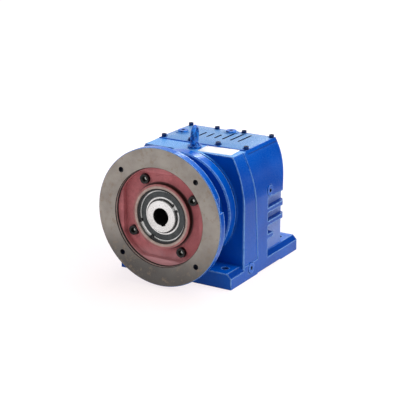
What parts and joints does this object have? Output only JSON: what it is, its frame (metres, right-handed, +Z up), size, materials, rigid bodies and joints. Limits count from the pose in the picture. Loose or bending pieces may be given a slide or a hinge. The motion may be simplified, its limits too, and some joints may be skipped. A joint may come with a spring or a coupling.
{
  "type": "helical gear reducer",
  "caption": "Foot-mounted in-line helical gear reducer with a ribbed cast housing, slotted top cover, lifting eyebolt and an open round motor adapter with a keyed hollow hub.",
  "frame": {"origin": "centre of the foot bolt pattern, on the base plane", "axes": "+Y along the shafts towards the output shaft end, +Z up from the feet to the deck, +X to the right seen from the motor side"},
  "size_m": [0.35, 0.469, 0.375],
  "materials": {
    "enamel": "gloss blue enamel over cast iron",
    "cover_enamel": "gloss blue enamel",
    "black_oxide": "black oxide",
    "spring_steel": "phosphated spring steel",
    "machined_steel": "turned",
    "bearing_steel": "ground and polished",
    "gear_steel": "ground teeth, oiled",
    "seal_rubber": "matte",
    "gasket": "matte",
    "ball_and_cage": "steel balls in a brass cage",
    "end_cap": "gloss blue enamel"
  },
  "bodies": {
    "housing": {"gear_housing": "enamel", "top_cover": "cover_enamel", "cover_gasket": "gasket", "cover_bolts": "cover_enamel", "lifting_eyebolt": "cover_enamel", "breather_plug": "cover_enamel", "filler_plug": "cover_enamel", "level_plug": "cover_enamel", "drain_plug": "cover_enamel", "motor_adapter": "enamel", "adapter_screws": "black_oxide", "front_circlip": "spring_steel", "input_oil_seal": "seal_rubber", "front_bearing_outer_ring": "bearing_steel", "front_bearing_shield": "seal_rubber", "pilot_bearing_outer_ring": "bearing_steel", "countershaft_circlip": "spring_steel", "countershaft_end_cap": "end_cap", "counter_front_outer_ring": "bearing_steel", "counter_rear_outer_ring": "bearing_steel", "output_circlip": "spring_steel", "output_oil_seal": "seal_rubber", "output_front_outer_ring": "bearing_steel", "output_rear_outer_ring": "bearing_steel"},
    "input_shaft": {"input_shaft": "machined_steel", "input_pinion": "gear_steel", "hub_circlip": "spring_steel", "front_bearing_inner_ring": "bearing_steel", "pilot_bearing_inner_ring": "bearing_steel"},
    "countershaft": {"countershaft": "gear_steel", "countershaft_gear": "gear_steel", "countershaft_key": "machined_steel", "countershaft_spacer": "machined_steel", "counter_front_inner_ring": "bearing_steel", "counter_rear_inner_ring": "bearing_steel"},
    "output_shaft": {"output_shaft": "machined_steel", "output_gear": "gear_steel", "output_gear_key": "machined_steel", "output_spacer": "machined_steel", "output_front_inner_ring": "bearing_steel", "output_rear_inner_ring": "bearing_steel"},
    "front_balls": {"front_bearing_balls": "ball_and_cage"},
    "pilot_balls": {"pilot_bearing_balls": "ball_and_cage"},
    "counter_front_balls": {"counter_front_balls": "ball_and_cage"},
    "counter_rear_balls": {"counter_rear_balls": "ball_and_cage"},
    "output_front_balls": {"output_front_balls": "ball_and_cage"},
    "output_rear_balls": {"output_rear_balls": "ball_and_cage"}
  },
  "joints": [
    {"name": "output_spin", "type": "hinge", "parent": "housing", "child": "output_shaft", "pos_m": [0, 0, 0.18], "axis": [0, 1, 0], "continuous": true},
    {"name": "countershaft_spin", "type": "hinge", "parent": "housing", "child": "countershaft", "pos_m": [-0.052, 0, 0.08993], "axis": [0, 1, 0], "continuous": true},
    {"name": "input_spin", "type": "hinge", "parent": "housing", "child": "input_shaft", "pos_m": [0, 0, 0.18], "axis": [0, 1, 0], "continuous": true},
    {"name": "front_balls_spin", "type": "hinge", "parent": "housing", "child": "front_balls", "pos_m": [0, 0, 0.18], "axis": [0, 1, 0], "continuous": true},
    {"name": "pilot_balls_spin", "type": "hinge", "parent": "housing", "child": "pilot_balls", "pos_m": [0, 0, 0.18], "axis": [0, 1, 0], "continuous": true},
    {"name": "counter_front_balls_spin", "type": "hinge", "parent": "housing", "child": "counter_front_balls", "pos_m": [-0.052, 0, 0.08993], "axis": [0, 1, 0], "continuous": true},
    {"name": "counter_rear_balls_spin", "type": "hinge", "parent": "housing", "child": "counter_rear_balls", "pos_m": [-0.052, 0, 0.08993], "axis": [0, 1, 0], "continuous": true},
    {"name": "output_front_balls_spin", "type": "hinge", "parent": "housing", "child": "output_front_balls", "pos_m": [0, 0, 0.18], "axis": [0, 1, 0], "continuous": true},
    {"name": "output_rear_balls_spin", "type": "hinge", "parent": "housing", "child": "output_rear_balls", "pos_m": [0, 0, 0.18], "axis": [0, 1, 0], "continuous": true}
  ],
  "couplings": [
    {"joint": "countershaft_spin", "follows": "output_spin", "ratio": -2.0588},
    {"joint": "input_spin", "follows": "output_spin", "ratio": 4.6324},
    {"joint": "front_balls_spin", "follows": "output_spin", "ratio": 1.8993},
    {"joint": "pilot_balls_spin", "follows": "output_spin", "ratio": 1.8993},
    {"joint": "counter_front_balls_spin", "follows": "output_spin", "ratio": -0.84412},
    {"joint": "counter_rear_balls_spin", "follows": "output_spin", "ratio": -0.84412},
    {"joint": "output_front_balls_spin", "follows": "output_spin", "ratio": 0.41},
    {"joint": "output_rear_balls_spin", "follows": "output_spin", "ratio": 0.41}
  ]
}
